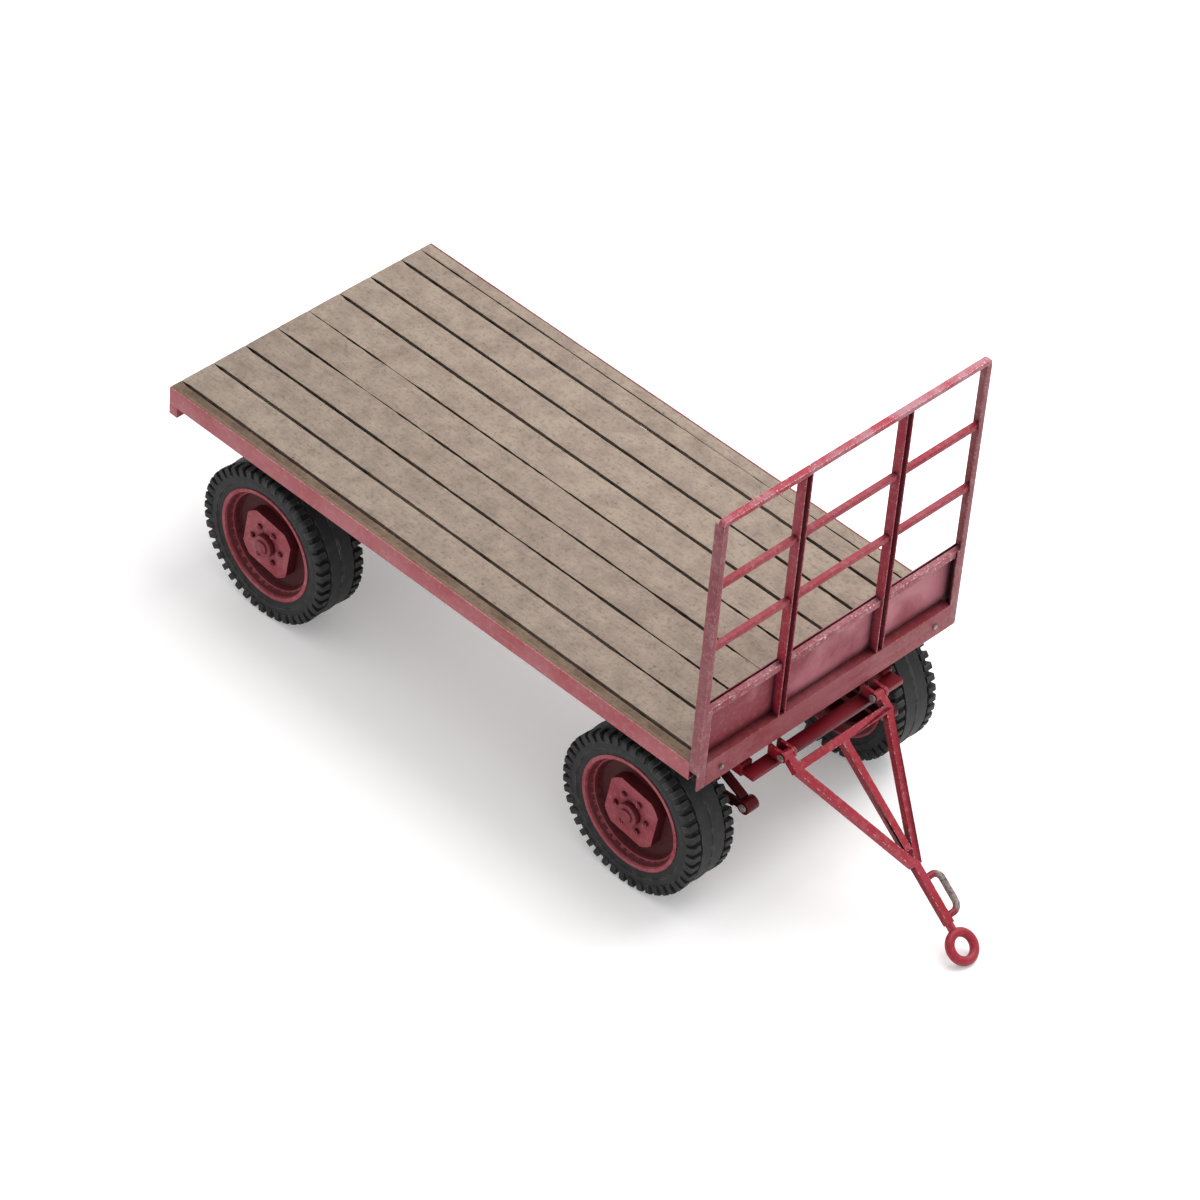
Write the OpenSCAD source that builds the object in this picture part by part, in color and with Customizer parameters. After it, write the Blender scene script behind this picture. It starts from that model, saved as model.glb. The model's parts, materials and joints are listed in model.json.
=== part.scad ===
// Flat-bed four-wheel farm wagon with a turntable front axle, a planked deck,
// an open front headboard and a hinged towing drawbar.
// Millimetres. +X is forwards, +Y is the wagon's left, +Z is up.
// The origin is on the ground, below the middle of the whole wagon.

/* [Deck] */
// Length of the deck, from its rear edge to the headboard's front face
deck_len = 4080; // [3980:10:4180]
// Width of the deck over the side rails
deck_w = 2000; // [1960:10:2040]
// Height of the deck's top above the ground
deck_h = 1200; // [1195:1:1210]
// Thickness of the deck boards
plank_t = 40; // [36:1:42]
// Width of the narrow board along each long edge
strip_w = 80; // [70:1:90]
// Width of the last full board, next to the left edge board
last_plank_w = 150; // [130:1:170]
// Gap between two boards
plank_gap = 20; // [12:1:24]
// Depth of the side rails
rail_depth = 118; // [112:1:122]
// Depth of the front beam, below the deck's top
front_beam_depth = 156; // [150:1:160]
// Depth of the rear beam, below the deck's top
rear_beam_depth = 185; // [170:1:200]

/* [Headboard] */
// Height of the headboard above the deck
head_h = 1675; // [1500:5:1800]
// Depth of an outer post, front to back
post_d = 66; // [60:1:70]
// Width of an outer post's front flange
post_w = 34; // [30:1:40]
// Width of an inner post
inner_post_w = 54; // [50:1:60]
// Height of the headboard's top rail
top_rail_h = 32; // [30:1:40]
// Depth of the headboard's top rail, front to back
top_rail_d = 44; // [40:1:50]
// Height of the upper cross rail's centre above the deck
rail_hi = 1225; // [1150:5:1300]
// Height of the lower cross rail's centre above the deck
rail_lo = 805; // [700:5:900]
// Height of the sheet panel's cap above the deck
panel_h = 380; // [330:5:430]
// Distance from the deck's middle to an inner post's middle
inner_post_y = 377; // [350:1:400]

/* [Wheels] */
// Radius of a tyre
tyre_r = 488; // [480:1:490]
// Width of a tyre
tyre_w = 320; // [300:1:330]
// Outer radius of the rim's lip
rim_r = 350; // [345:1:355]
// Gap between the tyre's outer side and the deck's side
wheel_inset = 45; // [40:1:60]
// Distance of the front axle behind the headboard's front face
front_axle_back = 498; // [490:1:506]
// Distance of the rear axle ahead of the deck's rear edge
rear_axle_ahead = 734; // [700:1:780]
// Radius of the axle spindles
spindle_r = 35; // [30:1:38]

/* [Springs] */
// Distance from the wagon's middle to a leaf spring's middle
spring_y = 543; // [538:1:548]
// Width of a spring leaf
leaf_w = 60; // [56:1:64]
// Thickness of a spring leaf
leaf_t = 10; // [8:1:10]
// Half the distance between the spring's two ends
spring_half = 478; // [470:1:482]
// Height of the spring's eye above the ground
eye_h = 627; // [620:1:632]

/* [Drawbar] */
// Distance of the drawbar's hinge ahead of the headboard's front face
hinge_ahead = 50; // [46:1:60]
// Height of the drawbar's hinge above the ground
hinge_h = 948; // [944:1:952]
// Distance from the hinge to the middle of the towing eye
drawbar_len = 1363; // [1300:1:1400]
// Half the distance between the two hinge arms
hinge_half = 356; // [350:1:362]
// Side of the drawbar's square tubes
bar_w = 46; // [42:1:50]
// Radius of the towing eye's centre line
eye_ring_r = 79; // [78:1:86]
// Radius of the towing eye's round bar
eye_bar_r = 27; // [24:1:28]

/* [Hidden] */
$fn = 64;

RED = "#a2455a";
BRIGHT_RED = "#a8283c";
DARK_RED = "#5c2530";
WOOD = "#a89880";
DARK_WOOD = "#7d7062";
BLACK = "#2b2d2f";
STEEL = "#77716c";

fit_gap = 0.5;          // clearance left between two pieces that are welded or laid together
run_gap = 0.05;         // radial clearance of a pin or shaft that turns

// Lengthways places
drawbar_drop = asin((hinge_h - eye_bar_r) / (drawbar_len + eye_ring_r));
nose_len = hinge_ahead + (drawbar_len + eye_ring_r) * cos(drawbar_drop) + eye_bar_r;
rear_x = -(deck_len + nose_len) / 2;
front_x = rear_x + deck_len;
hinge_x = front_x + hinge_ahead;
front_axle_x = front_x - front_axle_back;
rear_axle_x = rear_x + rear_axle_ahead;

// Deck and its frame
half_w = deck_w / 2;
rail_t = 8;
flange_w = 45;
plank_z = deck_h - plank_t;
board_len = deck_len - post_d - fit_gap;
boards_w = deck_w - 2 * rail_t - 2 * strip_w;
board_count = 8;
lip_h = 8;               // height of the front beam's top above the deck
board_pitch = (boards_w - last_plank_w) / (board_count - 1);
frame_bottom = deck_h - front_beam_depth;
rear_beam_w = 63;
main_beam_w = 50;
main_beam_y = 400;
cross_w = 40;
cross_depth = 60;
main_front_x = front_x - post_d - fit_gap;
bolt_y = half_w - 173;
bolt_z = deck_h - 80;
bolt_r = 8;
main_rear_x = rear_x + rear_beam_w + fit_gap;

// Headboard
post_t = 10;
foot_w = 60;             // width of a post's front flange up to the panel's cap
post_overlap = 50;       // how far a post's side flange reaches below the deck's top

// Turntable
ring_r = 430;
ring_w = 50;
lower_top = 930;
lower_bottom = 850;
ring_split = (frame_bottom + lower_top) / 2;
kingpin_r = 30;
member_w = 80;
front_bar_x0 = front_x - 57;
front_bar_x1 = front_x + 28;
front_bar_top = 905;
front_bar_h = 34;

// Springs
leaf_count = 5;
leaf_pitch = leaf_t + 0.3;
eye_r = 30;
eye_pin_r = 14;
spring_eye_z = eye_h + eye_r - leaf_t / 2;
barrel_r = 42;
barrel_len = 84;
axle_side = 80;
spring_sag = 36;
spring_arc_r = (spring_half * spring_half + spring_sag * spring_sag) / (2 * spring_sag);
main_leaf_z = eye_h - spring_sag;
pack_bottom = main_leaf_z - leaf_t / 2 - (leaf_count - 1) * leaf_pitch;

// Wheels
axle_h = tyre_r;
wheel_y = half_w - wheel_inset - tyre_w / 2;
lip_half = tyre_w / 2 - 16;
disc_face = lip_half - 17;
disc_t = 12;
disc_rim_r = 284;
disc_flat = 176;
disc_corner_r = 208;
disc_step = 70;
nut_circle_r = 112;
nut_count = 6;
stud_r = 9;
hub_r = 68;
pilot_r = 50;

// Drawbar, measured along it from the hinge
pin_r = 15;
lug_r = 28;
cross_tube_u = 88;
apex_u = 860;
bar_end_u = 1225;
handle_u0 = 955;
handle_u1 = 1185;
handle_out = 112;
handle_r = 20;
handle_bend = 48;
eye_bore_r = eye_ring_r - eye_bar_r + 2;

module box(x0, x1, y0, y1, z0, z1) {
    translate([x0, y0, z0]) cube([x1 - x0, y1 - y0, z1 - z0]);
}

// A box on both sides of the wagon, from y0 to y1 away from its middle
module box_pair(x0, x1, y0, y1, z0, z1) {
    box(x0, x1, y0, y1, z0, z1);
    box(x0, x1, -y1, -y0, z0, z1);
}

module both_sides() {
    children();
    mirror([0, 1, 0]) children();
}

module y_cylinder(r, y0, y1) {
    translate([0, y1, 0]) rotate([90, 0, 0]) cylinder(r = r, h = y1 - y0);
}

// ---- Deck ----

module plank(n) {
    y0 = -half_w + rail_t + strip_w + (n - 1) * board_pitch;
    w = n < board_count ? board_pitch : last_plank_w;
    color(WOOD)
        box(rear_x, rear_x + board_len, y0 + plank_gap / 2, y0 + w - plank_gap / 2, plank_z, deck_h);
}

module edge_strips() {
    y1 = half_w - rail_t - fit_gap;
    color(DARK_WOOD)
        box_pair(rear_x, rear_x + board_len, y1 - strip_w + plank_gap / 2, y1, plank_z, deck_h);
}

// Pressed rail with a ledge under the boards and a foot flange
module side_rail() {
    rail_end = front_x - post_d - fit_gap;
    foot = deck_h - rail_depth;
    ledge = plank_z - fit_gap;
    box(rear_x, rail_end, half_w - rail_t, half_w, foot, deck_h);
    box(rear_x, rail_end, half_w - flange_w, half_w, ledge - rail_t, ledge);
    box(main_rear_x, rail_end, half_w - flange_w, half_w, foot, foot + rail_t);
}

module side_rail_left() {
    color(RED) side_rail();
}

module side_rail_right() {
    color(RED) mirror([0, 1, 0]) side_rail();
}

// Channel with its web facing forwards, between the feet of the outer posts
module front_beam() {
    half = half_w - foot_w - fit_gap;
    top = deck_h + lip_h;
    color(RED) difference() {
        box(front_x - post_d, front_x, -half, half, frame_bottom, top);
        box(front_x - post_d - 1, front_x - rail_t, -half - 1, half + 1,
            frame_bottom + rail_t, top - rail_t);
        for (side = [-1, 1]) translate([front_x + 1, side * bolt_y, bolt_z]) rotate([0, -90, 0])
            cylinder(r = bolt_r + 0.5, h = rail_t + 2);
    }
}

module rear_beam() {
    bottom = deck_h - rear_beam_depth;
    foot = deck_h - rail_depth - fit_gap;
    top = plank_z - fit_gap;
    inner = half_w - flange_w - fit_gap;
    color(RED) difference() {
        union() {
            box(rear_x, rear_x + rear_beam_w, -half_w, half_w, bottom, foot);
            box(rear_x, rear_x + rear_beam_w, -inner, inner, foot - 1, top - rail_t);
        }
        box(rear_x + rail_t, rear_x + rear_beam_w + 1, -inner + rail_t, inner - rail_t,
            bottom + rail_t, top - 2 * rail_t);
    }
}

module main_beams() {
    y0 = main_beam_y - main_beam_w / 2;
    y1 = main_beam_y + main_beam_w / 2;
    top = plank_z - fit_gap;
    color(DARK_RED) both_sides() difference() {
        box(main_rear_x, main_front_x, y0, y1, frame_bottom, top);
        box(main_rear_x - 1, main_front_x + 1, y0 - 1, y1 - rail_t,
            frame_bottom + rail_t, top - rail_t);
    }
}

// Bearers under the boards, cut between the rails and the main beams
module cross_members() {
    top = plank_z - fit_gap;
    outer_y0 = main_beam_y + main_beam_w / 2 + fit_gap;
    outer_y1 = half_w - flange_w - fit_gap;
    inner_y = main_beam_y - main_beam_w / 2 - fit_gap;
    ring_mid = ring_r - ring_w / 2;
    stations = [
        rear_axle_x - spring_half, rear_axle_x, rear_axle_x + spring_half,
        (rear_axle_x + front_axle_x) / 2,
        front_axle_x - ring_mid, front_axle_x, front_axle_x + ring_mid
    ];
    color(DARK_RED) for (x = stations) {
        box_pair(x - cross_w / 2, x + cross_w / 2, outer_y0, outer_y1, top - cross_depth, top);
        box(x - cross_w / 2, x + cross_w / 2, -inner_y, inner_y, frame_bottom, top);
    }
}

// ---- Headboard ----

// Angle-section posts, each with a wider foot that reaches down past the front beam
module headboard_posts() {
    top = deck_h + head_h - top_rail_h - fit_gap;
    color(RED) both_sides() union() {
        box(front_x - post_t, front_x, half_w - post_w, half_w, frame_bottom, top);
        box(front_x - post_t, front_x, half_w - foot_w, half_w, frame_bottom, deck_h + panel_h);
        box(front_x - post_d, front_x, half_w - post_t, half_w, deck_h - post_overlap, top);
    }
}

// Top rail with its two outer corners rounded
module headboard_top_rail() {
    top = deck_h + head_h;
    bottom = top - top_rail_h;
    back = front_x - top_rail_d;
    corner_r = 22;
    color(RED) intersection() {
        union() {
            box(back, front_x, -half_w + corner_r, half_w - corner_r, bottom, top);
            box(back, front_x, -half_w, half_w, bottom, top - corner_r);
            for (side = [-1, 1]) translate([back, side * (half_w - corner_r), top - corner_r])
                rotate([0, 90, 0]) cylinder(r = corner_r, h = top_rail_d);
        }
        box(back - 1, front_x + 1, -half_w - 1, half_w + 1, bottom, top + 1);
    }
}

// Channels that open forwards
module inner_posts() {
    wall = 8;
    depth = post_d - wall;
    bottom = deck_h + lip_h + fit_gap;
    top = deck_h + head_h - top_rail_h - fit_gap;
    y0 = inner_post_y - inner_post_w / 2;
    y1 = inner_post_y + inner_post_w / 2;
    color(RED) both_sides() difference() {
        box(front_x - depth, front_x, y0, y1, bottom, top);
        box(front_x - depth + wall, front_x + 1, y0 + wall, y1 - wall, bottom - 1, top + 1);
    }
}

// The three clear stretches between the posts, as [y0, y1]
function bays() =
    let (outer = half_w - post_t - fit_gap,
         near = inner_post_y - inner_post_w / 2 - fit_gap,
         far = inner_post_y + inner_post_w / 2 + fit_gap)
    [[-outer, -far], [-near, near], [far, outer]];

module headboard_rails() {
    rail_side = 36;
    x1 = front_x - post_t - fit_gap;
    color(RED) for (h = [rail_lo, rail_hi]) for (bay = bays())
        box(x1 - rail_side, x1, bay[0], bay[1],
            deck_h + h - rail_side / 2, deck_h + h + rail_side / 2);
}

module headboard_panel() {
    sheet_t = 6;
    set_back = 1.5;
    x1 = front_x - post_d + sheet_t + set_back;
    half = half_w - post_t - fit_gap;
    color(RED) box(x1 - sheet_t, x1, -half, half, deck_h + lip_h + fit_gap, deck_h + panel_h - 2);
}

module panel_cap() {
    cap_d = 36;
    cap_h = 46;
    x1 = front_x - post_t - fit_gap;
    color(RED) for (bay = bays())
        box(x1 - cap_d, x1, bay[0], bay[1],
            deck_h + panel_h - cap_h, deck_h + panel_h);
}

module headboard_bolts() {
    head_r = 15;
    head_t = 10;
    shank_len = 24;
    color(STEEL) for (side = [-1, 1]) translate([front_x, side * bolt_y, bolt_z]) rotate([0, 90, 0]) {
        cylinder(r = head_r, h = head_t, $fn = 6);
        translate([0, 0, -shank_len]) cylinder(r = bolt_r, h = shank_len + 1);
    }
}

// ---- Turntable ----

// Angle-section ring lying flat, with its inner leg on the side that leg_up says
module turntable_ring(z0, z1, leg_up) {
    leg = 14;
    foot_z = leg_up ? z0 : z1 - leg;
    translate([front_axle_x, 0, 0]) rotate_extrude($fn = 96) {
        translate([ring_r - ring_w, foot_z]) square([ring_w, leg]);
        translate([ring_r - ring_w, z0]) square([leg, z1 - z0]);
    }
}

module upper_ring() {
    color(DARK_RED) turntable_ring(ring_split + fit_gap, frame_bottom - fit_gap, false);
}

module lower_ring() {
    color(DARK_RED) turntable_ring(lower_top + fit_gap, ring_split - fit_gap, true);
}

module kingpin() {
    head_r = 70;
    head_t = 20;
    nut_r = 52;
    nut_h = 34;
    washer_gap = 1;
    color(STEEL) translate([front_axle_x, 0, 0]) {
        translate([0, 0, frame_bottom - head_t - fit_gap]) cylinder(r = head_r, h = head_t);
        translate([0, 0, lower_bottom - nut_h - washer_gap])
            cylinder(r = kingpin_r, h = frame_bottom - lower_bottom + nut_h);
        translate([0, 0, lower_bottom - nut_h - washer_gap]) cylinder(r = nut_r, h = nut_h, $fn = 6);
    }
}

module lower_frame() {
    y0 = spring_y - member_w / 2;
    y1 = spring_y + member_w / 2;
    x0 = front_axle_x - spring_half;
    ring_mid = ring_r - ring_w / 2;
    cross_half = y0 - fit_gap;
    pivot_half = 70;
    color(BRIGHT_RED) {
        box_pair(x0, front_bar_x0 - fit_gap, y0, y1, lower_bottom, lower_top);
        box(front_bar_x0, front_bar_x1, -y1, y1, front_bar_top - front_bar_h, front_bar_top);
        box(front_axle_x - ring_mid - member_w / 2, front_axle_x - ring_mid + member_w / 2,
            -cross_half, cross_half, lower_bottom, lower_top);
        difference() {
            box(front_axle_x - pivot_half, front_axle_x + pivot_half, -cross_half, cross_half,
                lower_bottom, lower_top);
            translate([front_axle_x, 0, lower_bottom - 1])
                cylinder(r = kingpin_r + run_gap, h = lower_top - lower_bottom + 2);
        }
    }
}

module drawbar_lugs() {
    ear_t = 18;
    ear_r = 32;
    ear_len = 100;
    slot = bar_w / 2 + 2;
    color(BRIGHT_RED) for (side = [-1, 1]) for (ear = [-1, 1])
        translate([hinge_x, side * hinge_half + ear * (slot + ear_t / 2), hinge_h]) difference() {
            union() {
                y_cylinder(ear_r, -ear_t / 2, ear_t / 2);
                box(-ear_len, 0, -ear_t / 2, ear_t / 2, front_bar_top + fit_gap - hinge_h, ear_r);
            }
            y_cylinder(pin_r + run_gap, -ear_t, ear_t);
        }
}

// ---- Springs and axles ----

// One arched leaf, its number counted down from the main leaf
module leaf(number, half_len) {
    r_out = spring_arc_r + leaf_t / 2 + number * leaf_pitch;
    centre_z = main_leaf_z + spring_arc_r;
    intersection() {
        translate([0, 0, centre_z]) difference() {
            y_cylinder(r_out, -leaf_w / 2, leaf_w / 2);
            y_cylinder(r_out - leaf_t, -leaf_w / 2 - 1, leaf_w / 2 + 1);
        }
        box(-half_len, half_len, -leaf_w, leaf_w, main_leaf_z - 100, eye_h + 40);
    }
}

module leaf_spring() {
    leaf_step = 0.17;
    difference() {
        union() {
            leaf(0, spring_half + 1);
            translate([spring_half, 0, spring_eye_z]) y_cylinder(eye_r, -leaf_w / 2, leaf_w / 2);
        }
        translate([spring_half, 0, spring_eye_z]) y_cylinder(eye_pin_r + run_gap, -leaf_w, leaf_w);
    }
    for (i = [1:leaf_count - 1]) leaf(i, spring_half * (1 - i * leaf_step));
}

module springs(axle_x) {
    color(DARK_RED) for (side = [-1, 1]) translate([axle_x, side * spring_y, 0]) leaf_spring();
}

// Bent strap from the frame's underside down to the spring's end, at +X of the axle
module hanger_strap(under_z) {
    strap_t = 16;
    foot_t = 40;
    strap_w = leaf_w - 4;
    knee_x = spring_half - 180;
    knee_z = eye_h + 115;
    foot_x = spring_half - 215;
    rise = atan2(knee_z - eye_h - eye_r, spring_half - knee_x);
    end_x = spring_half - (barrel_r - 9) * cos(rise);
    end_z = knee_z - (end_x - knee_x) * tan(rise);
    slant_t = strap_t / cos(rise);
    translate([0, strap_w / 2, 0]) rotate([90, 0, 0]) linear_extrude(strap_w) polygon([
        [foot_x, under_z - fit_gap], [foot_x, knee_z], [knee_x, knee_z], [end_x, end_z],
        [end_x, end_z + slant_t], [foot_x + foot_t, knee_z + slant_t],
        [foot_x + foot_t, under_z - fit_gap]]);
}

// The strap's end closes round the spring's eye
module fixed_hanger(under_z) {
    slot = leaf_w / 2 + fit_gap;
    difference() {
        union() {
            hanger_strap(under_z);
            translate([spring_half, 0, spring_eye_z])
                y_cylinder(barrel_r, -barrel_len / 2, barrel_len / 2);
        }
        translate([spring_half, 0, spring_eye_z]) {
            y_cylinder(eye_r + fit_gap, -slot, slot);
            y_cylinder(eye_pin_r + run_gap, -barrel_len, barrel_len);
            box(-2 * barrel_r, 0, -slot, slot, -2 * barrel_r, -eye_r + leaf_t + 4);
            box(-2 * barrel_r, barrel_r + 2, -slot, slot, -2 * barrel_r, -eye_r + 4);
        }
    }
}

// The strap's end holds a block that the main leaf slides through
module slipper_hanger(under_z) {
    slot = leaf_w / 2 + fit_gap;
    slot_h = leaf_t + 9;
    mirror([1, 0, 0]) difference() {
        union() {
            hanger_strap(under_z);
            translate([spring_half, 0, spring_eye_z])
                y_cylinder(barrel_r, -barrel_len / 2, barrel_len / 2);
        }
        box(spring_half - 2 * barrel_r, spring_half + barrel_r + 1, -slot, slot,
            eye_h - slot_h, eye_h + leaf_t / 2 + 1);
    }
}

module hangers(axle_x, under_z) {
    color(DARK_RED) for (side = [-1, 1]) translate([axle_x, side * spring_y, 0]) {
        fixed_hanger(under_z);
        slipper_hanger(under_z);
    }
}

module spring_pins(axle_x) {
    head_r = 24;
    head_t = 8;
    color(STEEL) for (side = [-1, 1]) translate([axle_x + spring_half, side * spring_y, spring_eye_z]) {
        y_cylinder(eye_pin_r, -barrel_len / 2, barrel_len / 2);
        for (end = [-1, 1]) translate([0, end * (barrel_len + head_t) / 2, 0])
            y_cylinder(head_r, -head_t / 2, head_t / 2);
    }
}

// Two bent bolts over each spring and a plate under the axle
module u_bolts(axle_x) {
    rod_r = 8;
    leg_x = axle_side / 2 + rod_r + fit_gap;
    leg_y = leaf_w / 2 + rod_r + fit_gap;
    top_z = main_leaf_z + leaf_t / 2 + rod_r + 1;
    plate_t = 12;
    plate_edge = 18;
    nut_r = 15;
    nut_h = 14;
    thread_len = 24;
    plate_z = axle_h - axle_side / 2 - plate_t - fit_gap;
    color(STEEL) for (side = [-1, 1]) translate([axle_x, side * spring_y, 0]) {
        difference() {
            box(-leg_x - plate_edge, leg_x + plate_edge, -leg_y - plate_edge, leg_y + plate_edge,
                plate_z, plate_z + plate_t);
            for (sx = [-1, 1]) for (sy = [-1, 1])
                translate([sx * leg_x, sy * leg_y, plate_z - 1])
                    cylinder(r = rod_r + fit_gap, h = plate_t + 2);
        }
        for (sx = [-1, 1]) translate([sx * leg_x, 0, 0]) {
            translate([0, 0, top_z]) y_cylinder(rod_r, -leg_y, leg_y);
            for (sy = [-1, 1]) translate([0, sy * leg_y, 0]) {
                translate([0, 0, top_z]) sphere(r = rod_r);
                translate([0, 0, plate_z - thread_len])
                    cylinder(r = rod_r, h = top_z - plate_z + thread_len);
                translate([0, 0, plate_z - nut_h - fit_gap]) cylinder(r = nut_r, h = nut_h, $fn = 6);
            }
        }
    }
}

// Square beam with a spring seat on top and a round spindle at each end
module axle(axle_x) {
    beam_half = wheel_y - tyre_w / 2 - 30;
    spindle_end = wheel_y + 70;
    seat_half = 55;
    seat_top = pack_bottom - fit_gap;
    color(DARK_RED) translate([axle_x, 0, axle_h]) {
        box(-axle_side / 2, axle_side / 2, -beam_half, beam_half, -axle_side / 2, axle_side / 2);
        for (side = [-1, 1]) translate([0, side * spring_y, 0])
            box(-seat_half, seat_half, -leaf_w / 2, leaf_w / 2, axle_side / 2 - 1, seat_top - axle_h);
        y_cylinder(spindle_r, -spindle_end, spindle_end);
    }
}

// Riser that carries the rear springs' hangers at the height of the front ones
module rear_subframe() {
    y0 = spring_y - member_w / 2;
    y1 = spring_y + member_w / 2;
    bar_half = y0 - fit_gap;
    top = frame_bottom - fit_gap;
    color(DARK_RED) {
        box_pair(rear_axle_x - spring_half, rear_axle_x + spring_half, y0, y1,
                 lower_bottom, lower_top);
        for (sx = [-1, 1]) translate([rear_axle_x + sx * (spring_half - 60), 0, 0])
            box(-member_w / 2, member_w / 2, -bar_half, bar_half, lower_bottom, top);
    }
}

// ---- Wheels ----

// Places a wheel built round +Y, with its outer side towards +Y
module at_wheel(axle_x, side) {
    translate([axle_x, side * wheel_y, axle_h]) mirror([0, side < 0 ? 1 : 0, 0]) children();
}

// Turns a profile drawn as [radius, distance outwards] round the wheel's axis
module wheel_turn() {
    rotate([-90, 0, 0]) rotate_extrude($fn = 96) children();
}

// Rectangle from r0 to r1 and from -half to half, with round corners
module round_band(r0, r1, half, corner) {
    translate([r0 + corner, -half]) square([r1 - r0 - 2 * corner, 2 * half]);
    translate([r0, -half + corner]) square([r1 - r0, 2 * (half - corner)]);
    for (r = [r0 + corner, r1 - corner]) for (y = [-half + corner, half - corner])
        translate([r, y]) circle(r = corner);
}

module tyre(axle_x, side) {
    wall = 24;
    tread_t = 34;
    half = tyre_w / 2;
    corner = 40;
    bore_depth = 80;
    color(BLACK) at_wheel(axle_x, side) wheel_turn() difference() {
        round_band(rim_r - 26, tyre_r, half, corner);
        translate([rim_r - bore_depth, -half - 1]) square([bore_depth + fit_gap, tyre_w + 2]);
        round_band(rim_r - bore_depth, tyre_r - tread_t, half - wall, 26);
    }
}

// Square plate with cut corners, turned a little, from y0 to y1
module disc_plate(inset, y0, y1) {
    half = disc_flat - inset;
    turn = 8;
    intersection() {
        rotate([0, turn, 0]) box(-half, half, y0, y1, -half, half);
        y_cylinder(disc_corner_r - inset, y0 - 1, y1 + 1);
    }
}

// Stepped rim closed by a disc, whose middle stands out as a plate with cut corners
module wheel(axle_x, side) {
    lip = lip_half;
    steps = [
        [rim_r, lip], [rim_r - 22, lip], [rim_r - 28, lip - 12], [rim_r - 42, lip - 44],
        [rim_r - 50, lip - 46], [rim_r - 62, lip - 80], [disc_rim_r, lip - 82],
        [disc_rim_r, -lip + 60], [rim_r - 50, -lip + 44], [rim_r - 22, -lip + 12],
        [rim_r - 14, -lip], [rim_r, -lip], [rim_r, -lip + 8], [rim_r - 12, -lip + 10],
        [rim_r - 12, -lip + 20], [rim_r - 40, -lip + 50], [disc_rim_r + 10, -lip + 66],
        [disc_rim_r + 10, lip - 92], [rim_r - 52, lip - 88], [rim_r - 40, lip - 54],
        [rim_r - 12, lip - 20], [rim_r - 12, lip - 10], [rim_r, lip - 8]
    ];
    floor_y = disc_face - disc_step;
    color(RED) at_wheel(axle_x, side) {
        wheel_turn() polygon(steps);
        difference() {
            union() {
                disc_plate(0, floor_y - disc_t, disc_face);
                y_cylinder(disc_rim_r + 1, floor_y - disc_t, floor_y);
            }
            disc_plate(disc_t, floor_y - disc_t - 2, disc_face - disc_t);
            y_cylinder(pilot_r + 1, disc_face - disc_t - 1, disc_face + 1);
            for (i = [0:nut_count - 1]) rotate([0, i * 360 / nut_count, 0])
                translate([nut_circle_r, 0, 0])
                    y_cylinder(stud_r + fit_gap, disc_face - disc_t - 1, disc_face + 1);
        }
    }
}

// Bored hub with a flange behind the disc and a closed nose
module hub(axle_x, side) {
    flange_y = disc_face - disc_t - fit_gap;
    flange_r = 138;
    flange_t = 16;
    barrel_y = -110;
    cap_y = disc_face + 36;
    nose_t = 14;
    nose_r = 42;
    bore_end = 76;
    color(RED) at_wheel(axle_x, side) difference() {
        union() {
            y_cylinder(2 * spindle_r, barrel_y, flange_y);
            y_cylinder(flange_r, flange_y - flange_t, flange_y);
            y_cylinder(pilot_r, flange_y - 1, disc_face + 1);
            y_cylinder(hub_r, disc_face + fit_gap, cap_y);
            y_cylinder(nose_r, cap_y - 1, cap_y + nose_t);
        }
        y_cylinder(spindle_r + run_gap, barrel_y - 1, bore_end);
    }
}

module nuts(axle_x, side) {
    nut_r = 17;
    nut_h = 18;
    stud_end = disc_face + 24;
    color(DARK_RED) at_wheel(axle_x, side) for (i = [0:nut_count - 1])
        rotate([0, i * 360 / nut_count, 0]) translate([nut_circle_r, 0, 0]) {
            translate([0, disc_face + fit_gap, 0]) rotate([-90, 0, 0])
                cylinder(r = nut_r, h = nut_h, $fn = 6);
            y_cylinder(stud_r, disc_face - disc_t, stud_end);
        }
}

// ---- Drawbar ----

// Lays out the drawbar: X runs from the hinge to the towing eye
module in_drawbar() {
    translate([hinge_x, 0, hinge_h]) rotate([0, drawbar_drop, 0]) children();
}

// Square tube from one point to another in the drawbar's plane
module strut(from, to, side_w) {
    run = to - from;
    translate([from[0], from[1], -side_w / 2]) rotate([0, 0, atan2(run[1], run[0])])
        translate([0, -side_w / 2, 0]) cube([norm(run), side_w, side_w]);
}

module drawbar_frame() {
    half = bar_w / 2;
    join_y = bar_w / 4;
    color(BRIGHT_RED) in_drawbar() difference() {
        union() {
            for (side = [-1, 1]) {
                translate([0, side * hinge_half, 0]) y_cylinder(lug_r, -half, half);
                strut([0, side * hinge_half], [cross_tube_u + half, side * hinge_half], bar_w);
                strut([cross_tube_u, side * hinge_half], [apex_u, side * join_y], bar_w);
            }
            strut([cross_tube_u, -hinge_half], [cross_tube_u, hinge_half], bar_w);
            strut([cross_tube_u, 0], [bar_end_u, 0], bar_w);
        }
        for (side = [-1, 1]) translate([0, side * hinge_half, 0]) y_cylinder(pin_r, -bar_w, bar_w);
    }
}

module drawbar_pins() {
    reach = bar_w / 2 + 20 + 6;
    head_r = 22;
    head_t = 7;
    color(STEEL) for (side = [-1, 1]) translate([hinge_x, side * hinge_half, hinge_h]) {
        y_cylinder(pin_r, -reach, reach);
        for (end = [-1, 1]) translate([0, end * (reach + head_t / 2 - 1), 0])
            y_cylinder(head_r, -head_t / 2, head_t / 2);
    }
}

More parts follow.
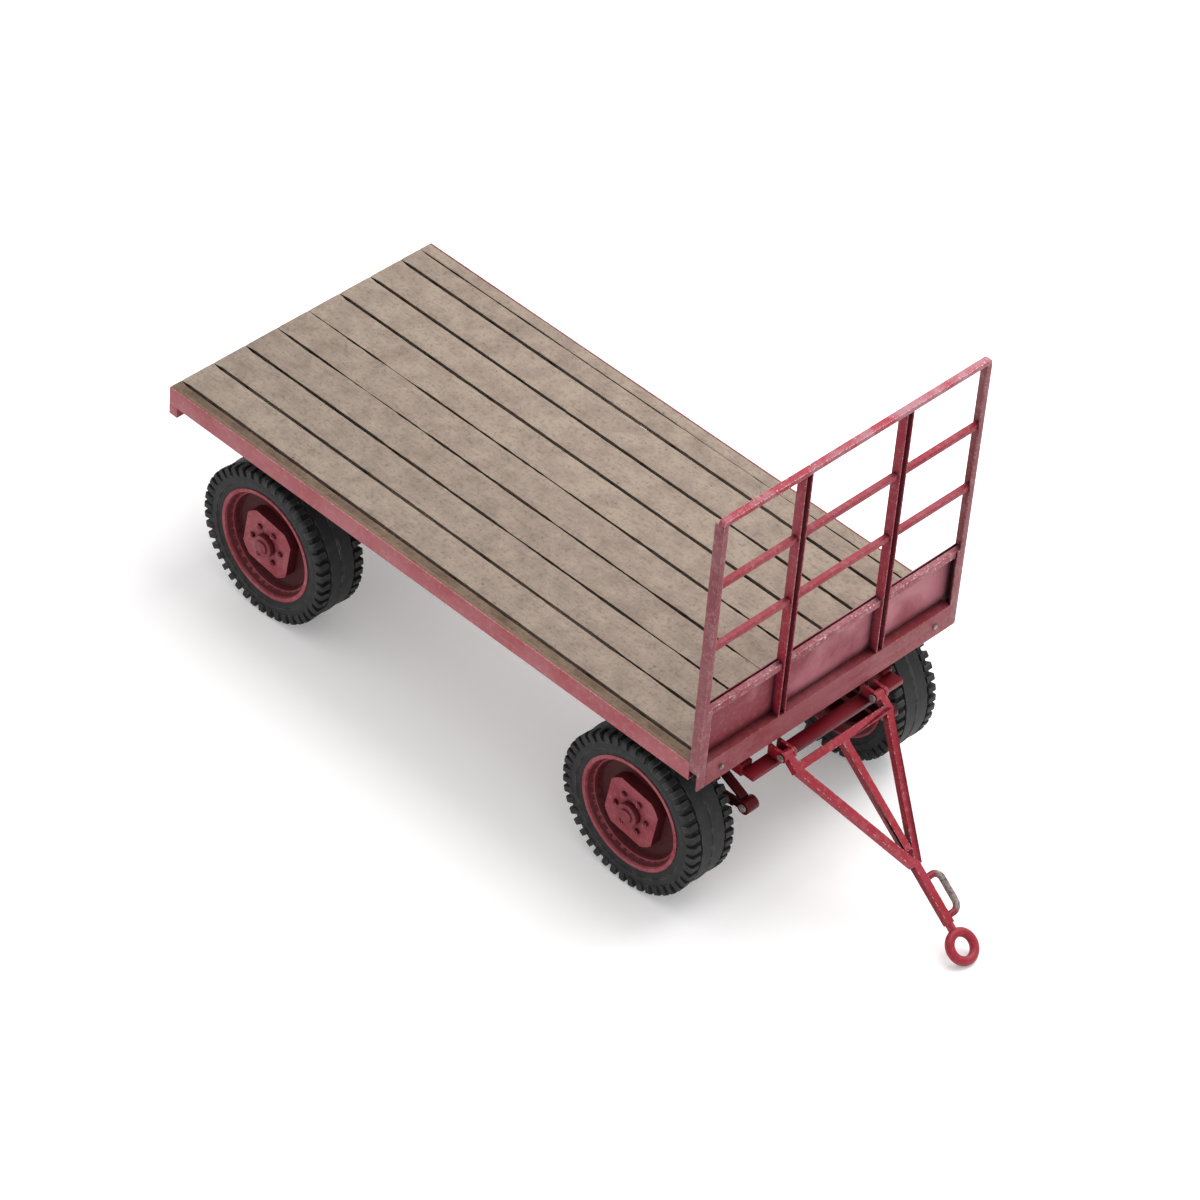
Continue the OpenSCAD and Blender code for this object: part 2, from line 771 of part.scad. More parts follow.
// Rod bent into a D on the left side of the bar
module drawbar_handle() {
    y0 = bar_w / 2 + fit_gap;
    run = handle_u1 - handle_u0;
    color(STEEL) in_drawbar() translate([handle_u0, 0, 0]) {
        for (u = [0, run]) translate([u, 0, 0]) y_cylinder(handle_r, y0, handle_out - handle_bend);
        translate([handle_bend, handle_out, 0]) rotate([0, 90, 0])
            cylinder(r = handle_r, h = run - 2 * handle_bend);
        translate([handle_bend, handle_out - handle_bend, 0]) rotate([0, 0, 90])
            rotate_extrude(angle = 90) translate([handle_bend, 0]) circle(r = handle_r);
        translate([run - handle_bend, handle_out - handle_bend, 0])
            rotate_extrude(angle = 90) translate([handle_bend, 0]) circle(r = handle_r);
    }
}

module towing_eye() {
    shank_u = bar_end_u + fit_gap;
    shank_r = 24;
    color(BRIGHT_RED) in_drawbar() difference() {
        union() {
            translate([drawbar_len, 0, 0]) rotate_extrude($fn = 96)
                translate([eye_ring_r, 0]) circle(r = eye_bar_r);
            translate([shank_u, 0, 0]) rotate([0, 90, 0])
                cylinder(r = shank_r, h = drawbar_len - eye_ring_r - shank_u);
        }
        translate([drawbar_len, 0, -2 * eye_bar_r]) cylinder(r = eye_bore_r, h = 4 * eye_bar_r);
    }
}

plank(1);  // plank_1
plank(2);  // plank_2
plank(3);  // plank_3
plank(4);  // plank_4
plank(5);  // plank_5
plank(6);  // plank_6
plank(7);  // plank_7
plank(8);  // plank_8
edge_strips();
side_rail_right();
side_rail_left();
front_beam();
rear_beam();
main_beams();
cross_members();
headboard_posts();
headboard_top_rail();
inner_posts();
headboard_rails();
headboard_panel();
panel_cap();
headboard_bolts();
upper_ring();
kingpin();
rear_subframe();
hangers(rear_axle_x, lower_bottom);  // rear_hangers
springs(rear_axle_x);  // rear_springs
spring_pins(rear_axle_x);  // rear_spring_pins
u_bolts(rear_axle_x);  // rear_u_bolts
axle(rear_axle_x);  // rear_axle
lower_ring();
lower_frame();
drawbar_lugs();
hangers(front_axle_x, lower_bottom);  // front_hangers
springs(front_axle_x);  // front_springs
spring_pins(front_axle_x);  // front_spring_pins
u_bolts(front_axle_x);  // front_u_bolts
axle(front_axle_x);  // front_axle
drawbar_frame();
drawbar_handle();
towing_eye();
drawbar_pins();
tyre(front_axle_x, -1);  // tyre_front_right
wheel(front_axle_x, -1);  // wheel_front_right
hub(front_axle_x, -1);  // hub_front_right
nuts(front_axle_x, -1);  // nuts_front_right
tyre(front_axle_x, 1);  // tyre_front_left
wheel(front_axle_x, 1);  // wheel_front_left
hub(front_axle_x, 1);  // hub_front_left
nuts(front_axle_x, 1);  // nuts_front_left
tyre(rear_axle_x, -1);  // tyre_rear_right
wheel(rear_axle_x, -1);  // wheel_rear_right
hub(rear_axle_x, -1);  // hub_rear_right
nuts(rear_axle_x, -1);  // nuts_rear_right
tyre(rear_axle_x, 1);  // tyre_rear_left
wheel(rear_axle_x, 1);  // wheel_rear_left
hub(rear_axle_x, 1);  // hub_rear_left
nuts(rear_axle_x, 1);  // nuts_rear_left
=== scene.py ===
"""Looks of a flat-bed farm wagon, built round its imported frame. Metres, +X forwards, +Y left, +Z up."""

import json
import logging
import math
from dataclasses import dataclass
from enum import Enum
from typing import Callable, Sequence

import bpy
from mathutils import Matrix, Vector, noise

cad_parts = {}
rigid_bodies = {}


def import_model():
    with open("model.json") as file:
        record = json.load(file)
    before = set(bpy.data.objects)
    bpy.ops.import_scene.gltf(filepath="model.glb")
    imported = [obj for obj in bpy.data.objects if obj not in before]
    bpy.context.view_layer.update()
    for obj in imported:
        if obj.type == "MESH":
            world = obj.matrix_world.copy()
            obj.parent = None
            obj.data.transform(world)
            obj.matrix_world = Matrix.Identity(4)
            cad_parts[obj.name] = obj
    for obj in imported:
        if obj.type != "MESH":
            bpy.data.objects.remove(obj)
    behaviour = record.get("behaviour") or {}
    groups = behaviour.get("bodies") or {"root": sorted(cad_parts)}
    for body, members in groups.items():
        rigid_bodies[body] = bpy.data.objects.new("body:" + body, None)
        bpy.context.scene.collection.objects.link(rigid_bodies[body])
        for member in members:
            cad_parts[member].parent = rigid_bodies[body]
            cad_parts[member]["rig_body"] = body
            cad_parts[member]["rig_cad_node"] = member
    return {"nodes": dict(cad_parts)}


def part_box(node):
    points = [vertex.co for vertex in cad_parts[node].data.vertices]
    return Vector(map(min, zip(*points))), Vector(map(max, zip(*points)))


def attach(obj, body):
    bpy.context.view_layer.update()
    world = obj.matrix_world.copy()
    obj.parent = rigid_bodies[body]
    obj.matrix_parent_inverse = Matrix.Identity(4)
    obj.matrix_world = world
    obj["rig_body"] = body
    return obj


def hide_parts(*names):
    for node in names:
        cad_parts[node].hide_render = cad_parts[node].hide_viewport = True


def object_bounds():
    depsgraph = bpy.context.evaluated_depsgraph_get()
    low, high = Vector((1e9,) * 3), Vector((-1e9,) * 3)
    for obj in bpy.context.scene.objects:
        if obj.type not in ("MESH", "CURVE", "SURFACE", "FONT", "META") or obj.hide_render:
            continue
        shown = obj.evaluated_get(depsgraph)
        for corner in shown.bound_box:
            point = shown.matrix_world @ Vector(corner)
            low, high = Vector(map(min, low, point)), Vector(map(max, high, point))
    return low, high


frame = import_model()
CAD_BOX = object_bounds()

LOG = logging.getLogger("wagon")
MM = 0.001
WELD_DISTANCE = 1e-5
SMOOTH_ANGLE = math.radians(32)


class Side(Enum):
    """The wagon's two sides, as the sign of Y."""

    RIGHT = -1
    LEFT = 1


class Axle(Enum):
    """The two axles, and the body that each one's wheels hang from."""

    FRONT = "front"
    REAR = "rear"


class Wear(Enum):
    """How far the paint has worn, as the level of the chip noise above which metal shows."""

    LIGHT = 0.78
    MEDIUM = 0.72
    HEAVY = 0.66


# ---- Small helpers ----


def colour(code: str) -> tuple[float, float, float, float]:
    """Turns an sRGB hex code into a linear colour.

    Args:
        code: Six hex digits after a hash.

    Returns:
        Linear red, green, blue and an alpha of 1.
    """
    parts = [int(code[i:i + 2], 16) / 255 for i in (1, 3, 5)]
    linear = [p / 12.92 if p <= 0.04045 else ((p + 0.055) / 1.055) ** 2.4 for p in parts]
    return (*linear, 1.0)


def plug(tree: bpy.types.NodeTree, node: bpy.types.Node, inputs: dict) -> None:
    """Sets or links a node's inputs.

    Args:
        tree: The node tree.
        node: The node.
        inputs: Its sockets, by name or number, with a value, a hex colour or the socket to link from.
    """
    for key, value in inputs.items():
        if isinstance(value, bpy.types.NodeSocket):
            tree.links.new(value, node.inputs[key])
        else:
            node.inputs[key].default_value = colour(value) if isinstance(value, str) else value


def add_node(tree: bpy.types.NodeTree, kind: str, output: int | str,
             settings: dict, inputs: dict) -> bpy.types.NodeSocket:
    """Adds a shader node.

    Args:
        tree: The node tree to add to.
        kind: The node's type, after its "ShaderNode".
        output: The output that is wanted, by name or number.
        settings: Attributes of the node and their values.
        inputs: As for plug.

    Returns:
        The output.
    """
    node = tree.nodes.new(f"ShaderNode{kind}")
    for key, value in settings.items():
        setattr(node, key, value)
    plug(tree, node, inputs)
    return node.outputs[output]


def pick(obj: bpy.types.Object) -> None:
    """Makes one object the only selected and active one.

    Args:
        obj: The object.
    """
    bpy.ops.object.select_all(action="DESELECT")
    obj.select_set(True)
    bpy.context.view_layer.objects.active = obj


def edit(obj: bpy.types.Object, *steps: Callable[[], object]) -> None:
    """Runs edit-mode steps on all of an object's mesh.

    Args:
        obj: The object to edit.
        steps: Functions that each run one or more operators.
    """
    pick(obj)
    bpy.ops.object.mode_set(mode="EDIT")
    bpy.ops.mesh.select_all(action="SELECT")
    for step in steps:
        step()
    bpy.ops.object.mode_set(mode="OBJECT")


def apply_modifier(obj: bpy.types.Object, kind: str, **settings: object) -> None:
    """Adds a modifier and applies it.

    Args:
        obj: The object.
        kind: The modifier's type.
        settings: The modifier's attributes and their values.
    """
    pick(obj)
    modifier = obj.modifiers.new(kind.title(), kind)
    for key, value in settings.items():
        setattr(modifier, key, value)
    bpy.ops.object.modifier_apply(modifier=modifier.name)


def settle(obj: bpy.types.Object) -> None:
    """Puts an object's place, turn and size into its mesh."""
    pick(obj)
    bpy.ops.object.transform_apply(location=True, rotation=True, scale=True)


def smooth(obj: bpy.types.Object) -> None:
    """Shades an object smooth, apart from its sharp edges."""
    pick(obj)
    bpy.ops.object.shade_smooth_by_angle(angle=SMOOTH_ANGLE)


def dress(obj: bpy.types.Object, material: bpy.types.Material) -> None:
    """Gives an object one material."""
    obj.data.materials.clear()
    obj.data.materials.append(material)


def store(obj: bpy.types.Object, name: str, domain: str, values: Sequence[float]) -> None:
    """Stores a number at each of an object's points or faces, for its material to read.

    Args:
        obj: The object.
        name: The attribute's name.
        domain: "POINT" or "FACE".
        values: One number for each point or face.
    """
    layer = obj.data.attributes.new(name, "FLOAT", domain)
    layer.data.foreach_set("value", values)


def join(parts: Sequence[bpy.types.Object], name: str) -> bpy.types.Object:
    """Joins several objects into the first.

    Args:
        parts: The objects.
        name: The name of the joined object and its mesh.

    Returns:
        The joined object.
    """
    pick(parts[0])
    for part in parts:
        part.select_set(True)
    bpy.ops.object.join()
    parts[0].name = parts[0].data.name = name
    return parts[0]


def softened(node: str, bevel: float, segments: int = 2) -> bpy.types.Object:
    """Makes a copy of a CAD node with its doubles merged and its edges rounded.

    Args:
        node: The CAD node's name.
        bevel: Width of the rounding, in metres.
        segments: Faces across the rounding.

    Returns:
        The copy, which rides on nothing yet.
    """
    pick(frame["nodes"][node])
    bpy.ops.object.duplicate()
    copy = bpy.context.view_layer.objects.active
    copy.parent = None
    copy.matrix_world = Matrix.Identity(4)
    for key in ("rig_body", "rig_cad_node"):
        del copy[key]
    copy.name = copy.data.name = f"{node}_finished"
    edit(
        copy,
        lambda: bpy.ops.mesh.remove_doubles(threshold=WELD_DISTANCE),
        lambda: bpy.ops.mesh.dissolve_limited(angle_limit=math.radians(1)),
    )
    apply_modifier(copy, "BEVEL", width=bevel, segments=segments, limit_method="ANGLE",
                   angle_limit=math.radians(35), use_clamp_overlap=True)
    smooth(copy)
    return copy


def stand_in(obj: bpy.types.Object, node: str) -> bpy.types.Object:
    """Puts a finished piece in the place of a CAD node.

    Args:
        obj: The piece.
        node: The CAD node that it replaces.

    Returns:
        The piece.
    """
    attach(obj, frame["nodes"][node]["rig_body"])
    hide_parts(node)
    LOG.info("%s: %d faces, for %s", obj.name, len(obj.data.polygons), node)
    return obj


# ---- Finishes ----


def start_material(name: str) -> tuple[bpy.types.Material, bpy.types.NodeTree, bpy.types.Node]:
    """Starts a material.

    Args:
        name: What the finish is.

    Returns:
        The material, its node tree and its shader.
    """
    material = bpy.data.materials.new(name)
    material.use_nodes = True
    return material, material.node_tree, material.node_tree.nodes["Principled BSDF"]


def edge_mask(tree: bpy.types.NodeTree, width_mm: float) -> bpy.types.NodeSocket:
    """Finds edges, for wear.

    Args:
        tree: The material's node tree.
        width_mm: How far from an edge counts as the edge.

    Returns:
        A socket that is 1 along edges and 0 on flat faces.
    """
    rounded = add_node(tree, "Bevel", 0, {"samples": 4}, {"Radius": width_mm * MM})
    flat = add_node(tree, "NewGeometry", "Normal", {}, {})
    alike = add_node(tree, "VectorMath", "Value", {"operation": "DOT_PRODUCT"}, {0: rounded, 1: flat})
    return add_node(tree, "MapRange", 0, {}, {"Value": alike, "From Min": 0.985, "From Max": 0.9})


def painted_shade_mask(tree: bpy.types.NodeTree, reach_mm: float) -> bpy.types.NodeSocket:
    """Finds corners and places under covers, for painted shade.

    Args:
        tree: The material's node tree.
        reach_mm: How near the covering faces have to be.

    Returns:
        A socket that is 1 in corners and under covers, and 0 in the open.
    """
    open_sky = add_node(tree, "AmbientOcclusion", "AO", {"samples": 4}, {"Distance": reach_mm * MM})
    return add_node(tree, "MapRange", 0, {}, {"Value": open_sky, "From Min": 0.85, "From Max": 0.3})


@dataclass(frozen=True)
class WornEnamel:
    """Brushed enamel on mild steel: sun-faded and dusty, with painted shade in its corners and chips to
    bare metal.

    Attributes:
        gloss: How strongly the paint film mirrors the room.
        paler_leftwards: How much paler the paint gets for each metre towards the wagon's left.
        dusting: The most that dust hides the paint.
        edge_pull: How much likelier a chip is on an edge.
        chip_edge: How softly a chip ends, on the scale of the chip noise.
    """

    name: str
    coat: str
    faded: str
    # Colour of the painted shade in corners, also used for the wheels' painted shade and dirt.
    shade_and_grime: str
    bare: str
    wear: Wear
    roughness: float = 0.55
    gloss: float = 0.4
    patch_mm: float = 320
    paler_leftwards: float = 0.0
    dusting: float = 0.35
    dust_mm: float = 34
    brush_mm: float = 16
    chip_mm: float = 13
    edge_mm: float = 9
    edge_pull: float = 0.2
    chip_edge: float = 0.05
    # How far the painted shade in corners reaches, in mm.
    shade_reach_mm: float = 60

    def build(self) -> bpy.types.Material:
        """Makes the material. Chips are drawn 13 mm wide, coarser than life, so that they show.

        Returns:
            The material.
        """
        material, tree, shader = start_material(self.name)
        place = add_node(tree, "TexCoord", "Object", {}, {})
        patches = add_node(tree, "TexNoise", 0, {}, {
            "Vector": place, "Scale": 1 / (self.patch_mm * MM), "Detail": 4.0})
        across = add_node(tree, "SeparateXYZ", "Y", {}, {0: place})
        # The paint turns paler towards the wagon's left.
        fading = add_node(tree, "Math", 0, {"operation": "MULTIPLY_ADD"}, {
            0: across, 1: self.paler_leftwards, 2: patches})
        faded = add_node(tree, "MapRange", 0, {}, {"Value": fading, "From Min": 0.4, "From Max": 0.62})
        paint = add_node(tree, "Mix", 2, {"data_type": "RGBA"}, {0: faded, 6: self.coat, 7: self.faded})
        film = add_node(tree, "TexNoise", 0, {}, {
            "Vector": place, "Scale": 1 / (self.dust_mm * MM), "Detail": 6.0, "Roughness": 0.7})
        dusty = add_node(tree, "MapRange", 0, {}, {
            "Value": film, "From Min": 0.5, "From Max": 0.75, "To Max": self.dusting})
        dusted = add_node(tree, "Mix", 2, {"data_type": "RGBA"}, {0: dusty, 6: paint, 7: self.bare})
        # Painted shade: the paint turns to the shade colour in corners, and on the wheels as far as their
        # stored values say.
        corner = painted_shade_mask(tree, self.shade_reach_mm)
        grime = add_node(tree, "Attribute", "Fac", {"attribute_name": "grime"}, {})
        dark = add_node(tree, "Math", 0, {"operation": "MAXIMUM"}, {0: corner, 1: grime})
        shaded = add_node(tree, "Mix", 2, {"data_type": "RGBA"}, {0: dark, 6: dusted, 7: self.shade_and_grime})
        chips = add_node(tree, "TexNoise", 0, {}, {
            "Vector": place, "Scale": 1 / (self.chip_mm * MM), "Detail": 3.0})
        likely = add_node(tree, "Math", 0, {"operation": "MULTIPLY_ADD"}, {
            0: edge_mask(tree, self.edge_mm), 1: self.edge_pull, 2: chips})
        chipped = add_node(tree, "MapRange", 0, {}, {
            "Value": likely, "From Min": self.wear.value, "From Max": self.wear.value + self.chip_edge})
        kept = add_node(tree, "Math", 0, {"operation": "SUBTRACT", "use_clamp": True}, {
            0: chipped, 1: dark})
        final = add_node(tree, "Mix", 2, {"data_type": "RGBA"}, {0: kept, 6: shaded, 7: self.bare})
        brush = add_node(tree, "TexNoise", 0, {}, {
            "Vector": place, "Scale": 1 / (self.brush_mm * MM), "Detail": 5.0})
        rough = add_node(tree, "MapRange", 0, {}, {
            "Value": brush, "To Min": self.roughness - 0.1, "To Max": self.roughness + 0.15})
        bump = add_node(tree, "Bump", 0, {}, {"Height": brush, "Distance": 2 * MM, "Strength": 0.6})
        plug(tree, shader, {
            "Base Color": final, "Roughness": rough, "Specular IOR Level": self.gloss, "Normal": bump})
        return material


@dataclass(frozen=True)
class WeatheredBoard:
    """Rough-sawn softwood left outdoors: dusty grey-brown, lumpy, dirt in its pores, painted shade in
    gaps and corners.
    """

    name: str
    pale: str
    mid: str
    dirt: str
    # Near black: the painted shade in the gaps and corners, also the colour of the pits.
    gap: str = "#120c08"
    grain_mm: float = 8
    streak_mm: float = 160
    blotch_mm: float = 150
    lump_mm: float = 26
    pit_mm: float = 15
    gap_shade_mm: float = 40

    def build(self) -> bpy.types.Material:
        """Makes the material. Its grain runs along X, drawn 8 mm wide so that it shows.

        Returns:
            The material.
        """
        material, tree, shader = start_material(self.name)
        place = add_node(tree, "TexCoord", "Object", {}, {})
        sizes = (self.streak_mm, self.grain_mm, self.grain_mm)
        along = add_node(tree, "Mapping", 0, {}, {
            "Vector": place, "Scale": [1 / (size * MM) for size in sizes]})
        grain = add_node(tree, "TexNoise", 0, {}, {
            "Vector": along, "Scale": 1.0, "Detail": 5.0, "Roughness": 0.65})
        blotch = add_node(tree, "TexNoise", 0, {}, {
            "Vector": place, "Scale": 1 / (self.blotch_mm * MM), "Detail": 6.0, "Roughness": 0.6})
        tone = add_node(tree, "Attribute", "Fac", {"attribute_name": "board_tone"}, {})
        mixed = add_node(tree, "Math", 0, {"operation": "ADD"}, {0: blotch, 1: tone})
        share = add_node(tree, "MapRange", 0, {}, {"Value": mixed, "From Min": 0.38, "From Max": 0.66})
        base = add_node(tree, "Mix", 2, {"data_type": "RGBA"}, {0: share, 6: self.pale, 7: self.mid})
        lumps = add_node(tree, "TexNoise", 0, {}, {
            "Vector": place, "Scale": 1 / (self.lump_mm * MM), "Detail": 7.0, "Roughness": 0.72})
        hollow = add_node(tree, "MapRange", 0, {}, {
            "Value": lumps, "From Min": 0.5, "From Max": 0.34, "To Max": 0.42})
        lumpy = add_node(tree, "Mix", 2, {"data_type": "RGBA"}, {0: hollow, 6: base, 7: self.dirt})
        pores = add_node(tree, "MapRange", 0, {}, {
            "Value": grain, "From Min": 0.54, "From Max": 0.74, "To Max": 0.45})
        grained = add_node(tree, "Mix", 2, {"data_type": "RGBA"}, {0: pores, 6: lumpy, 7: self.dirt})
        stretched = add_node(tree, "Mapping", 0, {}, {"Vector": place, "Scale": (0.4, 1, 1)})
        pits = add_node(tree, "TexNoise", 0, {}, {
            "Vector": stretched, "Scale": 1 / (self.pit_mm * MM), "Detail": 2.0})
        pitted = add_node(tree, "MapRange", 0, {}, {
            "Value": pits, "From Min": 0.7, "From Max": 0.77, "To Max": 0.6})
        spotted = add_node(tree, "Mix", 2, {"data_type": "RGBA"}, {0: pitted, 6: grained, 7: self.gap})
        # Painted shade: near black in the gaps between boards and in corners.
        final = add_node(tree, "Mix", 2, {"data_type": "RGBA"}, {
            0: painted_shade_mask(tree, self.gap_shade_mm), 6: spotted, 7: self.gap})
        height = add_node(tree, "Math", 0, {"operation": "SUBTRACT"}, {0: lumps, 1: pitted})
        rough = add_node(tree, "Bump", 0, {}, {"Height": height, "Distance": 5 * MM, "Strength": 0.8})
        sawn = add_node(tree, "Bump", 0, {}, {
            "Height": grain, "Distance": 2 * MM, "Strength": 0.6, "Normal": rough})
        plug(tree, shader, {
            "Base Color": final, "Roughness": 0.9, "Specular IOR Level": 0.15, "Normal": sawn})
        return material


@dataclass(frozen=True)
class TyreRubber:
    """Vulcanised black rubber, dulled by sun, with dust and painted highlight on its edges and painted
    shade in its hollows.
    """

    name: str
    black: str
    dull: str
    # Pale grey on the edges: dust, and painted highlight.
    dusty: str
    dust_mm: float = 55
    grit_mm: float = 9
    edge_mm: float = 7
    # How far the painted shade in the hollows reaches, in mm.
    shade_reach_mm: float = 30

    def build(self) -> bpy.types.Material:
        """Makes the material. The grit is drawn 9 mm wide, coarser than life, so that it shows.

        Returns:
            The material.
        """
        material, tree, shader = start_material(self.name)
        place = add_node(tree, "TexCoord", "Object", {}, {})
        dust = add_node(tree, "TexNoise", 0, {}, {
            "Vector": place, "Scale": 1 / (self.dust_mm * MM), "Detail": 6.0, "Roughness": 0.65})
        dulled = add_node(tree, "MapRange", 0, {}, {"Value": dust, "From Min": 0.42, "From Max": 0.66})
        rubber = add_node(tree, "Mix", 2, {"data_type": "RGBA"}, {0: dulled, 6: self.black, 7: self.dull})
        grit = add_node(tree, "TexNoise", 0, {}, {
            "Vector": place, "Scale": 1 / (self.grit_mm * MM), "Detail": 2.0})
        # Dust and painted highlight: the edges turn pale grey where the dust noise is high.
        caught = add_node(tree, "MapRange", 0, {}, {"Value": dust, "From Min": 0.44, "From Max": 0.6})
        edges = add_node(tree, "Math", 0, {"operation": "MULTIPLY"}, {
            0: edge_mask(tree, self.edge_mm), 1: caught})
        dusted = add_node(tree, "Mix", 2, {"data_type": "RGBA"}, {0: edges, 6: rubber, 7: self.dusty})
        # Painted shade: the rubber turns black in its hollows.
        final = add_node(tree, "Mix", 2, {"data_type": "RGBA"}, {
            0: painted_shade_mask(tree, self.shade_reach_mm), 6: dusted, 7: self.black})
        bump = add_node(tree, "Bump", 0, {}, {"Height": grit, "Distance": 1.5 * MM, "Strength": 0.5})
        plug(tree, shader, {"Base Color": final, "Roughness": 0.72, "Normal": bump})
        return material


@dataclass(frozen=True)
class HandledSteel:
    """Hot-rolled steel that hands keep bare: brown-grey, rubbed brighter, with paint at its roots."""

    name: str
    dull: str
    rubbed: str
    paint: str
    rub_mm: float = 30

    def build(self) -> bpy.types.Material:
        """Makes the material, from a patchy rub mark about 30 mm across.

        Returns:
            The material.
        """
        material, tree, shader = start_material(self.name)
        place = add_node(tree, "TexCoord", "Object", {}, {})
        rub = add_node(tree, "TexNoise", 0, {}, {
            "Vector": place, "Scale": 1 / (self.rub_mm * MM), "Detail": 6.0, "Roughness": 0.7})
        share = add_node(tree, "MapRange", 0, {}, {"Value": rub, "From Min": 0.4, "From Max": 0.6})
        bare = add_node(tree, "Mix", 2, {"data_type": "RGBA"}, {0: share, 6: self.dull, 7: self.rubbed})
        left = add_node(tree, "Attribute", "Fac", {"attribute_name": "paint_left"}, {})
        ragged = add_node(tree, "Math", 0, {"operation": "MULTIPLY_ADD"}, {0: rub, 1: 0.8, 2: left})
        painted = add_node(tree, "MapRange", 0, {}, {"Value": ragged, "From Min": 0.75, "From Max": 0.95})
        final = add_node(tree, "Mix", 2, {"data_type": "RGBA"}, {0: painted, 6: bare, 7: self.paint})
        bump = add_node(tree, "Bump", 0, {}, {"Height": rub, "Distance": 1.5 * MM, "Strength": 0.5})
        plug(tree, shader, {"Base Color": final, "Metallic": 0.35, "Roughness": 0.5, "Normal": bump})
        return material


class Paintwork:
    """Every finish on the wagon, built once."""

    def __init__(self) -> None:
        """Builds the materials."""
        # Each enamel's third colour is the painted shade that its corners take.
        self.rails = WornEnamel("faded_rail_enamel", "#95444b", "#9d585e", "#2f1013", "#b98f8c",
                                Wear.MEDIUM).build()
        self.beam = WornEnamel("front_beam_enamel", "#761f28", "#823942", "#30090e", "#a87f7d",
                               Wear.LIGHT, dusting=0.25).build()
        self.post = WornEnamel("post_enamel", "#763038", "#7f454b", "#340f15", "#bf9d9b",
                               Wear.MEDIUM, edge_pull=0.25).build()
        self.headboard = WornEnamel("headboard_enamel", "#86182b", "#86303c", "#340f15", "#c79c9a",
                                    Wear.MEDIUM, gloss=0.3, patch_mm=600, dusting=0.2).build()
        self.top_rail = WornEnamel("top_rail_enamel", "#8d1b30", "#96606a", "#340f15", "#cfb3b0",
                                   Wear.HEAVY, gloss=0.3, patch_mm=140, paler_leftwards=0.12,
                                   dusting=0.2).build()
        self.panel = WornEnamel("headboard_panel_enamel", "#7b2734", "#a6636e", "#231012", "#9b7273",
                                Wear.LIGHT, paler_leftwards=0.2).build()
        self.cap = WornEnamel("panel_cap_enamel", "#7a2a36", "#8a4650", "#2a0f12", "#d6c8c4",
                              Wear.HEAVY, edge_pull=0.26).build()
        self.drawbar = WornEnamel("drawbar_enamel", "#8d0f23", "#942235", "#3a0a12", "#d2b4b0",
                                  Wear.MEDIUM, roughness=0.42, gloss=0.35, dusting=0.15,
                                  edge_pull=0.16).build()
        # Painted shade: the turntable's and the running gear's red is darkened because they stand under
        # the deck, and their painted shade in corners reaches far.
        self.turntable = WornEnamel("turntable_enamel", "#6d0d1b", "#781c28", "#1a0507", "#6a2f33",
                                    Wear.LIGHT, roughness=0.42, gloss=0.2, dusting=0.15,
                                    shade_reach_mm=120).build()
        self.under = WornEnamel("undercarriage_enamel", "#40050d", "#4f0b13", "#140405", "#5f3234",
                                Wear.LIGHT, roughness=0.42, gloss=0.15, dusting=0.15,
                                shade_reach_mm=120).build()
        self.wheel = WornEnamel("wheel_enamel", "#852934", "#93464f", "#42090f", "#b3868a",
                                Wear.LIGHT, gloss=0.25).build()
        self.boards = WeatheredBoard("weathered_softwood", "#928477", "#7f7167", "#50433a").build()
        self.strip = WeatheredBoard("dirty_edge_softwood", "#726051", "#5a493f", "#2f241c").build()
        # The tyre's pale grey is dust and painted highlight on its edges.
        self.tyre = TyreRubber("tyre_rubber", "#0a0b0c", "#18191b", "#585856").build()
        self.steel = HandledSteel("handled_steel", "#5c4a48", "#a39a97", "#7c1a28").build()


# ---- Deck ----


@dataclass(frozen=True)
class Gap:
    """The gap along a board's edge, before the Deck's narrowest and widest limits.

    Attributes:
        rear: Mean width at the rear, in mm.
        front: Mean width at the front, in mm.
        broken: How much the width varies.
    """

    rear: float
    front: float
    broken: float = 0.5


